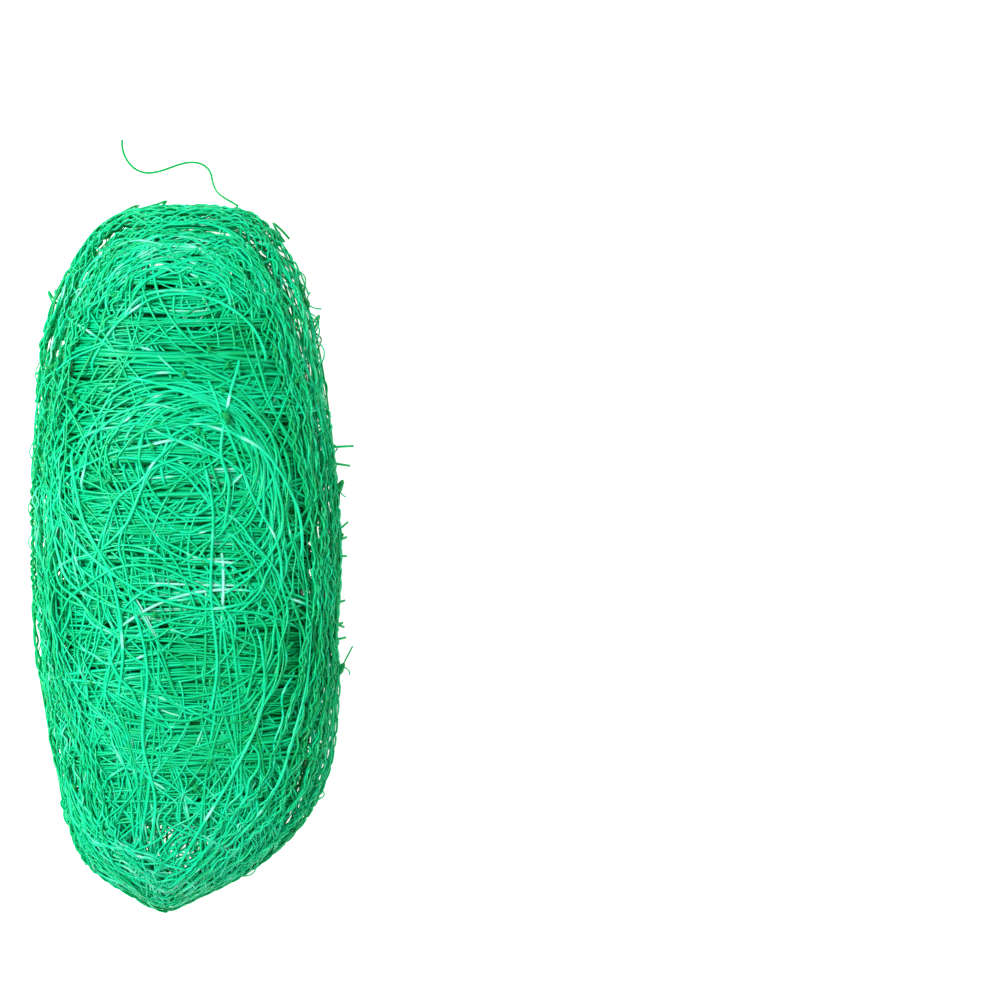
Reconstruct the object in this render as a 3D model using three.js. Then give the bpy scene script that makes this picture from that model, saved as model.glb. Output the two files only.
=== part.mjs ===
// A hank of knotted plant-trellis netting, lying on its back.
//
// The net is wound the long way into loops that show along both sides and over the round top, with
// short turns across the middle, and its strands are gathered to a blunt point at the bottom.
// Millimetres. +X is the hank's right side, +Y its round top, +Z its front. The underside is flat at
// z = 0, and the hank's own box is centred on X and Y.

import * as THREE from 'three';
import { mergeVertices } from 'three/addons/utils/BufferGeometryUtils.js';

// Size of the hank
const hankHalfWidth = 78; // half of the widest part, to which the thickness is matched
const hankHalfThickness = 47.5; // at the widest part
const thicknessTaper = 0.7; // how the thickness falls with the width, 1 for an even scaling
const sectionPower = 2.25; // 2 is an ellipse, more is squarer
const restSink = 2.4; // how far the round underside is pressed flat at the widest part
const endLift = 20; // height of the two ends over the floor
const sectionCount = 86; // sections from the top to the bottom
const girthCount = 66; // points around each section
const sideDensity = 0.22; // share by which those points are closer together along the sides

// One row for each section of the hank: its height up the hank and where its two sides are
const sections = [
  { y: 178.2, left: 4, right: 4 },
  { y: 177.4, left: -13, right: 19 },
  { y: 174.2, left: -32, right: 33 },
  { y: 166, left: -45.5, right: 42.5 },
  { y: 152, left: -56, right: 52.5 },
  { y: 130, left: -67.5, right: 61.5 },
  { y: 100, left: -75, right: 68 },
  { y: 60, left: -78.3, right: 73.5 },
  { y: 15, left: -78.6, right: 76.8 },
  { y: -30, left: -77.6, right: 77 },
  { y: -70, left: -73.5, right: 76 },
  { y: -105, left: -67, right: 71.5 },
  { y: -130, left: -62, right: 59.5 },
  { y: -148, left: -54.5, right: 42.5 },
  { y: -160, left: -42.5, right: 25 },
  { y: -169, left: -28.5, right: 7 },
  { y: -175, left: -19, right: -5 },
  { y: -177.6, left: -12, right: -12 },
];

// The main twists, as ridges on that form
const loopBand = { width: 27, fade: 8, pitch: 12, height: 1.7 }; // long loops along the sides and the top
const turns = { pitch: 20, height: 1.9, slope: 0.06, wander: 3, wanderLength: 95 };
const turnsReach = { top: 132, bottom: -140, fade: 24 }; // where the short turns show on Y
const lumps = { height: 1.4, lengthX: 88, lengthY: 122 }; // slow unevenness of the whole hank
const floorFade = 12; // ridges die out over this height above the floor

// Slack bights of the net lying over the front: arcs of a circle, in degrees from +X towards +Y
const bight = { width: 18, height: 3.6, endFade: 30 };
const bights = [
  { x: 9, y: 42, radius: 31, from: -75, to: 200 },
  { x: -6, y: -34, radius: 56, from: -80, to: 50 },
  { x: 30, y: -88, radius: 60, from: 128, to: 205 },
];

// The loose end of the strand that runs off the round top
const strandDiameter = 1.2;
const strandSides = 8;
const strandSteps = 44;
const strandRoute = [
  [25.2, 177.5, 21.0],
  [23.7, 178.5, 20.3],
  [21.7, 179.7, 19.0],
  [19.5, 181.0, 17.1],
  [17.3, 182.4, 14.8],
  [15.3, 184.0, 12.2],
  [13.6, 186.0, 9.5],
  [12.4, 188.4, 6.7],
  [11.6, 191.2, 4.1],
  [10.9, 194.1, 2.1],
  [9.3, 197.0, 0.95],
  [6.6, 199.2, 0.65],
  [3.1, 200.3, 0.65],
  [-0.9, 200.3, 0.65],
  [-5.0, 199.4, 0.65],
  [-9.1, 198.0, 0.65],
  [-13.3, 196.5, 0.65],
  [-17.6, 195.4, 0.65],
  [-21.8, 195.1, 0.65],
  [-25.8, 196.1, 0.65],
  [-29.3, 198.5, 0.65],
  [-31.9, 201.8, 0.65],
  [-33.5, 205.4, 0.65],
  [-34.2, 209.1, 0.65],
  [-34.1, 212.0, 0.65],
];

const nettingMaterial = new THREE.MeshStandardMaterial({ color: 0x0ac07a, roughness: 0.4, metalness: 0 });
const strandMaterial = new THREE.MeshStandardMaterial({ color: 0x0aa574, roughness: 0.4, metalness: 0 });

const smooth = THREE.MathUtils.smoothstep;

// The sections between the rows, evenly spaced along the outline
function sectionList() {
  const columns = sections.map((row) => new THREE.Vector3(row.left, row.y, row.right));
  const curve = new THREE.CatmullRomCurve3(columns, false, 'centripetal');
  return curve.getSpacedPoints(sectionCount).map((point) => {
    const halfWidth = Math.max(0, (point.z - point.x) / 2);
    const share = halfWidth / hankHalfWidth;
    const halfThickness = hankHalfThickness * share ** thicknessTaper;
    return {
      y: point.y,
      middle: (point.x + point.z) / 2,
      halfWidth,
      halfThickness,
      height: halfThickness - restSink * share * share + endLift * (1 - share),
    };
  });
}

// A point of a section: the angle runs from its right side over its front
function sectionPoint(section, angle) {
  const power = 2 / sectionPower;
  const across = Math.sign(Math.cos(angle)) * Math.abs(Math.cos(angle)) ** power;
  const up = Math.sign(Math.sin(angle)) * Math.abs(Math.sin(angle)) ** power;
  return new THREE.Vector3(
    section.middle + section.halfWidth * across,
    section.y,
    section.height + section.halfThickness * up,
  );
}

// The smooth form: rings of points from the top to the bottom, closed by a point at each end
function hankForm(list) {
  const ends = [list[0], list[list.length - 1]].map((end) => new THREE.Vector3(end.middle, end.y, end.height));
  const rings = list.slice(1, -1);
  const points = [ends[0]];
  for (const section of rings) {
    for (let k = 0; k < girthCount; k += 1) {
      const angle = (k / girthCount) * 2 * Math.PI;
      points.push(sectionPoint(section, angle - (sideDensity / 2) * Math.sin(2 * angle)));
    }
  }
  points.push(ends[1]);

  const last = points.length - 1;
  const at = (ring, k) => 1 + ring * girthCount + (k % girthCount);
  const faces = [];
  for (let k = 0; k < girthCount; k += 1) {
    faces.push(0, at(0, k + 1), at(0, k));
    faces.push(last, at(rings.length - 1, k), at(rings.length - 1, k + 1));
    for (let ring = 0; ring < rings.length - 1; ring += 1) {
      faces.push(at(ring, k), at(ring, k + 1), at(ring + 1, k));
      faces.push(at(ring, k + 1), at(ring + 1, k + 1), at(ring + 1, k));
    }
  }
  const geometry = new THREE.BufferGeometry().setFromPoints(points);
  geometry.setIndex(faces);
  geometry.computeVertexNormals();
  return geometry;
}

// How far a point of the plan lies inside the hank's outline
function insetFrom(outline, x, y) {
  let nearest = Infinity;
  for (const edge of outline) {
    nearest = Math.min(nearest, Math.hypot(edge.x - x, edge.y - y));
  }
  return nearest;
}

// A rounded ridge across a band of the given width, 1 at its middle and 0 outside it
function ridge(offset, width) {
  const share = Math.min(1, Math.abs(offset) / (width / 2));
  return 0.5 + 0.5 * Math.cos(Math.PI * share);
}

// How far the bights cover a point, from 0 to 1: the most of any of them, each less towards its ends
function bightShare(point) {
  return Math.max(...bights.map((arc) => {
    const dx = point.x - arc.x;
    const dy = point.y - arc.y;
    const turn = THREE.MathUtils.radToDeg(Math.atan2(dy, dx)) - (arc.from + arc.to) / 2;
    const away = Math.abs(THREE.MathUtils.euclideanModulo(turn + 180, 360) - 180);
    const reach = (arc.to - arc.from) / 2;
    return (1 - smooth(away, reach - bight.endFade, reach)) * ridge(Math.hypot(dx, dy) - arc.radius, bight.width);
  }));
}

// Height of the ridges at a point of the form, whose side is at the given height
function relief(point, sideHeight, outline) {
  const inset = insetFrom(outline, point.x, point.y);
  const fromSide = Math.hypot(inset, point.z - sideHeight);
  const side = 1 - smooth(inset, loopBand.width - loopBand.fade, loopBand.width + loopBand.fade);
  const loops = loopBand.height * side * Math.cos((2 * Math.PI * fromSide) / loopBand.pitch);

  const wander = turns.wander * Math.sin((2 * Math.PI * point.x) / turns.wanderLength);
  const phase = (point.y + turns.slope * point.x + wander) / turns.pitch;
  const shown = smooth(point.y, turnsReach.bottom, turnsReach.bottom + turnsReach.fade)
    * (1 - smooth(point.y, turnsReach.top - turnsReach.fade, turnsReach.top));
  const across = turns.height * (1 - side) * shown * Math.cos(2 * Math.PI * phase);

  const uneven = lumps.height * Math.sin((2 * Math.PI * point.x) / lumps.lengthX + 1)
    * Math.sin((2 * Math.PI * point.y) / lumps.lengthY);
  const covered = point.z > sideHeight ? bightShare(point) : 0;
  const twists = THREE.MathUtils.lerp(loops + across, bight.height, covered);
  return (twists + uneven) * smooth(point.z, 0, floorFade);
}

function hankGeometry() {
  const list = sectionList();
  const outline = list.flatMap((section) => [
    { x: section.middle - section.halfWidth, y: section.y },
    { x: section.middle + section.halfWidth, y: section.y },
  ]);
  const geometry = hankForm(list);
  const position = geometry.getAttribute('position');
  const normal = geometry.getAttribute('normal');
  const point = new THREE.Vector3();
  const outward = new THREE.Vector3();
  for (let k = 0; k < position.count; k += 1) {
    point.fromBufferAttribute(position, k);
    outward.fromBufferAttribute(normal, k);
    const section = list[Math.ceil(k / girthCount)];
    point.addScaledVector(outward, relief(point, section.height, outline));
    position.setXYZ(k, point.x, point.y, Math.max(0, point.z));
  }
  geometry.deleteAttribute('normal');
  geometry.computeBoundingBox();
  const middle = geometry.boundingBox.getCenter(new THREE.Vector3());
  return mergeVertices(geometry.translate(-middle.x, -middle.y, 0));
}

// A tube with flat ends along the route's smooth curve
function strandGeometry() {
  const route = new THREE.CatmullRomCurve3(strandRoute.map((point) => new THREE.Vector3(...point)));
  const rim = [];
  for (let k = 0; k < strandSides; k += 1) {
    const angle = (k / strandSides) * 2 * Math.PI;
    rim.push(new THREE.Vector2(Math.cos(angle), Math.sin(angle)).multiplyScalar(strandDiameter / 2));
  }
  return new THREE.ExtrudeGeometry(new THREE.Shape(rim), {
    steps: strandSteps,
    bevelEnabled: false,
    extrudePath: route,
  });
}

function piece(name, geometry, material) {
  const mesh = new THREE.Mesh(geometry, material);
  mesh.name = name;
  return mesh;
}

const group = new THREE.Group();
group.add(piece('netting_hank', hankGeometry(), nettingMaterial));
group.add(piece('loose_strand_end', strandGeometry(), strandMaterial));

export default group;
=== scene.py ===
# A hank of green trellis netting, lying on its back.
# The strands are real geometry: some two thousand thin tubes laid on and in the hank's own form.
import math

import bpy
import numpy as np
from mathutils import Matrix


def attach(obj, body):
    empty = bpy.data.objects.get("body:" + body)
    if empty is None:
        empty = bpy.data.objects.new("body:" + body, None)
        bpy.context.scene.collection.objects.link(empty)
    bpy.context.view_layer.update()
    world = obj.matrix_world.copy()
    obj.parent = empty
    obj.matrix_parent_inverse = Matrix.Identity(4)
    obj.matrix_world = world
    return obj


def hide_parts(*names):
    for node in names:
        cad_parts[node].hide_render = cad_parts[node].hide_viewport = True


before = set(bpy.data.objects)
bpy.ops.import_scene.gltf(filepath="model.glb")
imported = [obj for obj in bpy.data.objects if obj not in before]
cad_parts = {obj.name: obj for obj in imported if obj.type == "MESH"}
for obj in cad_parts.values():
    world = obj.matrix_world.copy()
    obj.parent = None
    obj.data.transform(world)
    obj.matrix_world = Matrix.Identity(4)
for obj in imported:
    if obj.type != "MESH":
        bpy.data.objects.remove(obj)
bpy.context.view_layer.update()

mm = 0.001
lowest = 0.05  # mm over the floor, for every point of a strand or a knot
rng = np.random.default_rng(20)

# Camera: straight down on the hank's front, through a long lens
picture = {
    "scale": 0.5,  # mm in a pixel at the height of the hank's sides
    "pixels": 1000,
    "hankMiddle": (186.2, 559.4),  # pixel of the hank's own middle
    "sideHeight": 45,  # mm over the floor
    "distance": 4000,  # mm from that height
    "sensor": 36,
}


def makeCamera():
    span = picture["scale"] * picture["pixels"]
    half = picture["pixels"] / 2
    x = (half - picture["hankMiddle"][0]) * picture["scale"]
    y = (picture["hankMiddle"][1] - half) * picture["scale"]
    data = bpy.data.cameras.new("camera")
    data.sensor_width = picture["sensor"]
    data.lens = picture["sensor"] * picture["distance"] / span
    data.clip_end = 20
    camera = bpy.data.objects.new("camera", data)
    camera.location = (x * mm, y * mm, (picture["distance"] + picture["sideHeight"]) * mm)
    bpy.context.scene.collection.objects.link(camera)
    bpy.context.scene.camera = camera


makeCamera()


def linear(hexValue):
    # sRGB hex to linear: each channel by the inverse of the sRGB curve
    channels = [int(hexValue[k : k + 2], 16) / 255 for k in (0, 2, 4)]
    return [c / 12.92 if c <= 0.04045 else ((c + 0.055) / 1.055) ** 2.4 for c in channels] + [1]


def addNode(tree, kind, settings=None, links=None):
    # Adds a node: settings go to its properties or, by name or number, to its sockets
    node = tree.nodes.new(kind)
    for key, value in (settings or {}).items():
        if isinstance(key, int) or key in node.inputs:
            node.inputs[key].default_value = value
        else:
            setattr(node, key, value)
    for key, output in (links or {}).items():
        tree.links.new(output, node.inputs[key])
    return node


# Polyethylene tape, extruded and drawn into strand: saturated green, waxy, with a clean narrow gloss
strandFinish = {
    # tone ramp of the tape; the near-white last stop is the painted highlight colour of the glints and
    # flashes
    "stops": [
        (0.0, "004c1a"), (0.2, "00883a"), (0.45, "00c56e"),
        (0.7, "04e2a0"), (0.86, "14f0be"), (1.0, "b4fff0"),
    ],
    "roughness": 0.26,
    "gloss": 0.3,
    "ior": 1.5,
    "mottle": 9,  # mm between changes of tone along a strand
    "mottleShare": 0.16,
    "mottleDetail": 2.0,
    "translucent": 0.42,
}


def strandMaterial(name, finish):
    material = bpy.data.materials.new(name)
    material.use_nodes = True
    tree = material.node_tree
    shader = tree.nodes["Principled BSDF"]
    shader.inputs["Roughness"].default_value = finish["roughness"]
    shader.inputs["IOR"].default_value = finish["ior"]
    shader.inputs["Specular IOR Level"].default_value = finish["gloss"]
    tone = addNode(tree, "ShaderNodeAttribute", {"attribute_name": "tone"})
    place = addNode(tree, "ShaderNodeTexCoord")
    mottle = addNode(tree, "ShaderNodeTexNoise",
                     {"Scale": 1 / (finish["mottle"] * mm), "Detail": finish["mottleDetail"]},
                     {"Vector": place.outputs["Object"]})
    spread = addNode(tree, "ShaderNodeMapRange",
                     {"To Min": -finish["mottleShare"], "To Max": finish["mottleShare"]},
                     {"Value": mottle.outputs["Fac"]})
    mixed = addNode(tree, "ShaderNodeMath", {"operation": "ADD", "use_clamp": True},
                    {0: tone.outputs["Fac"], 1: spread.outputs["Result"]})
    ramp = addNode(tree, "ShaderNodeValToRGB", None, {"Fac": mixed.outputs["Value"]})
    elements = ramp.color_ramp.elements
    while len(elements) > 1:
        elements.remove(elements[-1])
    elements[0].position, elements[0].color = finish["stops"][0][0], linear(finish["stops"][0][1])
    for position, colour in finish["stops"][1:]:
        elements.new(position).color = linear(colour)
    tree.links.new(ramp.outputs["Color"], shader.inputs["Base Color"])
    through = addNode(tree, "ShaderNodeBsdfTranslucent", None, {"Color": ramp.outputs["Color"]})
    both = addNode(tree, "ShaderNodeMixShader", {"Fac": finish["translucent"]},
                   {1: shader.outputs["BSDF"], 2: through.outputs["BSDF"]})
    tree.links.new(both.outputs["Shader"], tree.nodes["Material Output"].inputs["Surface"])
    return material


# The hank's form: one row for each section, its height up the hank and where its two sides are
hank = {
    "sections": [
        (178.2, 4, 4), (177.4, -13, 19), (174.2, -32, 33), (166, -45.5, 42.5), (152, -56, 52.5),
        (130, -67.5, 61.5), (100, -75, 68), (60, -78.3, 73.5), (15, -78.6, 76.8), (-30, -77.6, 77),
        (-70, -73.5, 76), (-105, -67, 71.5), (-130, -62, 59.5), (-148, -54.5, 42.5), (-160, -42.5, 25),
        (-169, -28.5, 7), (-175, -19, -5), (-177.6, -12, -12),
    ],
    "halfWidth": 78,
    "halfThickness": 47.5,
    "taper": 0.7,
    "power": 2.25,
    "restSink": 2.4,
    "endLift": 20,
    "spine": (-112, 104),  # the loops turn about the two ends of this stretch of the middle line
}


def smoothRows(rows, count):
    # Cubic Hermite curve through the rows over the running sum of root chord, then even in length
    rows = np.array(rows, float)
    t = np.r_[0, np.cumsum(np.sqrt(np.linalg.norm(np.diff(rows, axis=0), axis=1)))]
    slope = np.gradient(rows, t, axis=0)
    u = np.linspace(0, t[-1], count * 8)
    k = np.clip(np.searchsorted(t, u, side="right") - 1, 0, len(t) - 2)
    step = (t[k + 1] - t[k])[:, None]
    f = (u - t[k])[:, None] / step
    curve = (
        (2 * f**3 - 3 * f**2 + 1) * rows[k]
        + (f**3 - 2 * f**2 + f) * step * slope[k]
        + (3 * f**2 - 2 * f**3) * rows[k + 1]
        + (f**3 - f**2) * step * slope[k + 1]
    )
    run = np.r_[0, np.cumsum(np.linalg.norm(np.diff(curve, axis=0), axis=1))]
    even = np.linspace(0, run[-1], count)
    return np.stack([np.interp(even, run, column) for column in curve.T], axis=1)


formRows = smoothRows(hank["sections"], 600)
formRows[:, 1:] -= (formRows[:, 1].min() + formRows[:, 2].max()) / 2
formRows[:, 0] -= (formRows[:, 0].min() + formRows[:, 0].max()) / 2
rising = formRows[::-1]


def halfWidthAt(y):
    return np.interp(y, rising[:, 0], (rising[:, 2] - rising[:, 1]) / 2)


def middleAt(y):
    return np.interp(y, rising[:, 0], (rising[:, 2] + rising[:, 1]) / 2)


def halfThicknessAt(y):
    return hank["halfThickness"] * (halfWidthAt(y) / hank["halfWidth"]) ** hank["taper"]


def heightAt(y):
    share = halfWidthAt(y) / hank["halfWidth"]
    return halfThicknessAt(y) - hank["restSink"] * share**2 + hank["endLift"] * (1 - share)


def power(value, exponent):
    return np.sign(value) * np.abs(value) ** exponent


def turnPoints(y, angle, depth):
    # A section's superellipse at height y, in from the form's skin by depth, with angle 0 at its right side
    p = 2 / hank["power"]
    wide = np.maximum(halfWidthAt(y) - depth, 1)
    thick = np.maximum(halfThicknessAt(y) - depth, 1)
    x = middleAt(y) + wide * power(np.cos(angle), p)
    z = heightAt(y) + thick * power(np.sin(angle), p)
    return np.stack(np.broadcast_arrays(x, y, z), axis=-1)


def surfaceHeight(x, y, side, depth):
    # Height of the form's front (side 1) or back (side -1) over a point of the plan
    wide = np.maximum(halfWidthAt(y) - depth, 1)
    thick = np.maximum(halfThicknessAt(y) - depth, 1)
    share = np.minimum(np.abs(x - middleAt(y)) / wide, 1)
    return heightAt(y) + side * thick * (1 - share ** hank["power"]) ** (1 / hank["power"])


outline = np.concatenate([
    np.stack([rising[:, 2], rising[:, 0]], axis=1),
    np.stack([rising[::-1, 1], rising[::-1, 0]], axis=1),
])
outlineRun = np.r_[0, np.cumsum(np.linalg.norm(np.diff(outline, axis=0), axis=1))]
outlineLength = outlineRun[-1]


def outlineAt(s):
    # Point of the plan's outline at share s of its length, from the bottom tip up the right side
    run = np.mod(s, 1) * outlineLength
    x = np.interp(run, outlineRun, outline[:, 0])
    y = np.interp(run, outlineRun, outline[:, 1])
    return np.stack([x, y], axis=-1)


def loopPoints(s, latitude, depth):
    # A loop round the hank: the outline drawn in towards the spine by the cosine of its latitude
    p = 2 / hank["power"]
    edge = outlineAt(s)
    spineY = np.clip(edge[..., 1], *hank["spine"])
    spine = np.stack([middleAt(spineY), spineY], axis=-1)
    out = edge - spine
    reach = np.linalg.norm(out, axis=-1)
    share = np.maximum(reach - depth, 1) / reach * power(np.cos(latitude), p)
    plan = spine + out * share[..., None]
    flat = plan[..., 1]
    side = np.sign(latitude)
    z = surfaceHeight(plan[..., 0], flat, side, depth)
    return np.concatenate([plan, z[..., None]], axis=-1)


def outward(points):
    # Direction away from the form's middle, as on an ellipsoid of its own size
    y = points[..., 1]
    spineY = np.clip(y, *hank["spine"])
    wide = halfWidthAt(spineY)
    thick = halfThicknessAt(spineY)
    normal = np.stack([
        (points[..., 0] - middleAt(y)) / wide**2,
        (y - spineY) / wide**2,
        (points[..., 2] - heightAt(y)) / thick**2,
    ], axis=-1)
    return normal / np.maximum(np.linalg.norm(normal, axis=-1, keepdims=True), 1e-9)


def wave(count, steps, cycles, closed=False):
    # Smooth random wander from -1 to 1 along each of count strands: sines of random phase and size
    t = np.linspace(0, 1, steps, endpoint=not closed)
    total = np.zeros((count, steps))
    harmonics = [max(1, round(cycles * f)) if closed else cycles * f for f in (0.5, 1, 1.7, 2.9)]
    for turn, size in zip(harmonics, (1, 0.7, 0.45, 0.25)):
        phase = rng.uniform(0, 2 * np.pi, (count, 1))
        total += size * rng.uniform(0.5, 1, (count, 1)) * np.sin(2 * np.pi * turn * t + phase)
    return total / 2


twistSpread = 0.3  # radians

# Where along a strand its painted highlight (flash) may be, as shares of its length, and how strong it is
paintedFlashing = {"from": (0.15, 0.85), "size": (0.4, 1), "reach": 1.2, "most": 0.42}


def paintedFlash(count, steps, share, reach=paintedFlashing["reach"], most=paintedFlashing["most"]):
    # Painted highlight where a tape turns its flat side up to the light: a bell of raised tone at one random
    # step on a share of the strands
    at = rng.uniform(*paintedFlashing["from"], (count, 1)) * steps
    bell = np.exp(-(((np.arange(steps) - at) / reach) ** 2))
    return most * (rng.uniform(0, 1, (count, 1)) < share) * rng.uniform(*paintedFlashing["size"], (count, 1)) * bell


def drawnTone(row, count):
    # A tone for each of count strands, spread about the row's own and never over its brightest
    return np.minimum(row["tone"] + rng.normal(0, row["toneSpread"], (count, 1)), row["brightest"])


def drawnWidth(row, count):
    # A width for each of count strands, as a share of the row's own
    return row["width"] * rng.uniform(*row["widthSpread"], (count, 1))


def drawnTwist(count, steps, cycles, size, closed=False):
    # Radians that each of count strands turns about its own path: a steady angle and a wander
    return rng.normal(0, twistSpread, (count, 1)) + size * wave(count, steps, cycles, closed)


def dive(t, share=0.12, depth=6):
    # Depth that a strand's two ends dive to, over a share of its length
    fromEnd = np.minimum(t - t[0], t[-1] - t) / (t[-1] - t[0])
    return depth * np.clip(1 - fromEnd / share, 0, 1) ** 2


# Painted light and shade over the front, and places where painted wet-looking glints gather: middle, reach
# and amount
paintedLightAndShade = [
    (31, 105, 16, -0.12), (42, 60, 18, -0.14), (-43, 84, 14, -0.08), (60, 20, 20, -0.12), (44, -38, 22, -0.1),
    (4, -54, 16, -0.1), (66, -50, 26, -0.12), (-54, 108, 12, -0.06), (52, -88, 32, -0.12),
    (20, -95, 20, -0.06), (-50, 10, 30, 0.05), (-12, -145, 34, 0.11), (-20, 60, 26, 0.04),
    (-44, -60, 24, 0.05), (-46, 122, 30, 0.05), (-8, 158, 30, 0.04), (36, -8, 14, -0.08),
    (-36, 36, 10, -0.08),
]
paintedGlintPlaces = [
    (-16, -30, 14, 0.36), (-9, -76, 9, 0.36), (20, -10, 16, 0.36), (6, 116, 12, 0.24), (22, 45, 10, 0.3),
    (-2, -12, 14, 0.3),
]
paintedLightFade = 20  # mm over which the painted light and shade come in, from the hank's sides up to its front


def bellSum(rows, x, y):
    # Sum over the rows of amount times the exponential of minus squared distance by squared reach
    return sum(amount * np.exp(-((x - x0) ** 2 + (y - y0) ** 2) / reach**2) for x0, y0, reach, amount in rows)


def paintedLightAt(paths, paintedGlintShare):
    # Painted light and shade along strands by where they lie on the front, with painted glints on a share of
    # the strands
    x, y = paths[..., 0], paths[..., 1]
    onTop = np.clip((paths[..., 2] - heightAt(y)) / paintedLightFade, 0, 1)
    shining = rng.uniform(0, 1, (len(x), 1)) < paintedGlintShare
    return onTop * (bellSum(paintedLightAndShade, x, y) + shining * bellSum(paintedGlintPlaces, x, y))


class Strands:
    # Gathers the tubes of one piece
    def __init__(self):
        self.points, self.tones, self.quads, self.caps, self.count = [], [], [], [], 0

    def add(self, paths, width, thickness, tone, sides=3, closed=False, twist=None):
        # Sweeps a flattened ring of sides along each path: its width lies across the path and in the skin,
        # its thickness along the skin's normal, and twist turns it about the path
        strands, steps = paths.shape[:2]
        if closed:
            ahead = np.roll(paths, -1, axis=1) - np.roll(paths, 1, axis=1)
        else:
            ahead = np.gradient(paths, axis=1)
        ahead /= np.maximum(np.linalg.norm(ahead, axis=-1, keepdims=True), 1e-9)
        up = outward(paths)
        up -= (up * ahead).sum(-1, keepdims=True) * ahead
        up /= np.maximum(np.linalg.norm(up, axis=-1, keepdims=True), 1e-6)
        across = np.cross(up, ahead)
        turn = np.zeros((strands, steps)) if twist is None else np.broadcast_to(twist, (strands, steps))
        axisA = across * np.cos(turn)[..., None] + up * np.sin(turn)[..., None]
        axisB = up * np.cos(turn)[..., None] - across * np.sin(turn)[..., None]
        width = np.broadcast_to(width, (strands, steps))[..., None, None] / 2
        thickness = np.broadcast_to(thickness, (strands, steps))[..., None, None] / 2
        angles = np.arange(sides) / sides * 2 * np.pi + np.pi / 2
        ring = (
            axisA[:, :, None] * np.cos(angles)[None, None, :, None] * width
            + axisB[:, :, None] * np.sin(angles)[None, None, :, None] * thickness
        )
        points = paths[:, :, None] + ring
        points[..., 2] = np.maximum(points[..., 2], lowest)
        strand, step, corner = np.meshgrid(
            np.arange(strands), np.arange(steps if closed else steps - 1), np.arange(sides), indexing="ij"
        )

        def at(k, j):
            return self.count + (strand * steps + k % steps) * sides + j % sides

        self.quads.append(np.stack([
            at(step, corner), at(step, corner + 1), at(step + 1, corner + 1), at(step + 1, corner),
        ], axis=-1).reshape(-1, 4))
        if not closed:
            first = self.count + np.arange(strands)[:, None] * steps * sides + np.arange(sides)
            self.caps += [first[:, ::-1], first + (steps - 1) * sides]
        self.points.append(points.reshape(-1, 3))
        tones = np.clip(np.broadcast_to(tone, (strands, steps)), 0, 1)
        self.tones.append(np.repeat(tones.reshape(-1), sides))
        self.count += strands * steps * sides

    def piece(self, name, material, node="netting_hank"):
        points = np.concatenate(self.points) * mm
        parts = [*self.quads, *self.caps]
        corners = np.concatenate([part.reshape(-1) for part in parts])
        sizes = np.concatenate([np.full(len(part), part.shape[1]) for part in parts])
        mesh = bpy.data.meshes.new(name)
        mesh.vertices.add(len(points))
        mesh.vertices.foreach_set("co", points.reshape(-1))
        mesh.loops.add(len(corners))
        mesh.loops.foreach_set("vertex_index", corners.astype(np.int32))
        mesh.polygons.add(len(sizes))
        mesh.polygons.foreach_set("loop_start", np.r_[0, np.cumsum(sizes)[:-1]].astype(np.int32))
        mesh.polygons.foreach_set("use_smooth", np.ones(len(sizes), bool))
        mesh.update(calc_edges=True)
        mesh.attributes.new("tone", "FLOAT", "POINT").data.foreach_set("value", np.concatenate(self.tones))
        mesh.materials.append(material)
        made = bpy.data.objects.new(name, mesh)
        bpy.context.scene.collection.objects.link(made)
        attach(made, "root")
        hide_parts(node)
        print(name, "triangles", int((sizes - 2).sum()))
        return made


tape = strandMaterial("drawn polyethylene tape", strandFinish)

# The loose end of the strand, whose route is the one that its own solid has, in metres
looseEnd = {
    "diameter": 0.0012,
    "route": [
        (0.0252, 0.1775, 0.0210), (0.0237, 0.1785, 0.0203), (0.0217, 0.1797, 0.0190),
        (0.0195, 0.1810, 0.0171), (0.0173, 0.1824, 0.0148), (0.0153, 0.1840, 0.0122),
        (0.0136, 0.1860, 0.0095), (0.0124, 0.1884, 0.0067), (0.0116, 0.1912, 0.0041),
        (0.0109, 0.1941, 0.0021), (0.0093, 0.1970, 0.00095), (0.0066, 0.1992, 0.00065),
        (0.0031, 0.2003, 0.00065), (-0.0009, 0.2003, 0.00065), (-0.0050, 0.1994, 0.00065),
        (-0.0091, 0.1980, 0.00065), (-0.0133, 0.1965, 0.00065), (-0.0176, 0.1954, 0.00065),
        (-0.0218, 0.1951, 0.00065), (-0.0258, 0.1961, 0.00065), (-0.0293, 0.1985, 0.00065),
        (-0.0319, 0.2018, 0.00065), (-0.0335, 0.2054, 0.00065), (-0.0342, 0.2091, 0.00065),
        (-0.0341, 0.2120, 0.00065),
    ],
    "steps": 90,
    "sides": 8,
    "tone": 0.4,
}


def makeLooseEnd():
    path = smoothRows(looseEnd["route"], looseEnd["steps"])
    strands = Strands()
    diameter = looseEnd["diameter"] / mm
    strands.add(path[None] / mm, diameter, diameter, looseEnd["tone"], looseEnd["sides"])
    made = strands.piece("loose_strand", tape, "loose_strand_end")


print("stage: loose strand")
makeLooseEnd()

sideSharpness = 6  # power of the cosine by which windings lie deeper as they go round the sides

# Inner windings, seen only through the gaps, their tone set lower than the strands over them as painted shade
# in the gaps
core = {"depth": 8.5, "sideDepth": 12, "bottom": -134, "top": 134, "lengthSteps": 110, "girthSteps": 100,
        "lump": 1.8, "lumpLength": 20, "lumpsRound": 3, "lumpSlant": 31, "roundness": 34, "tone": 0.5}


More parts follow.
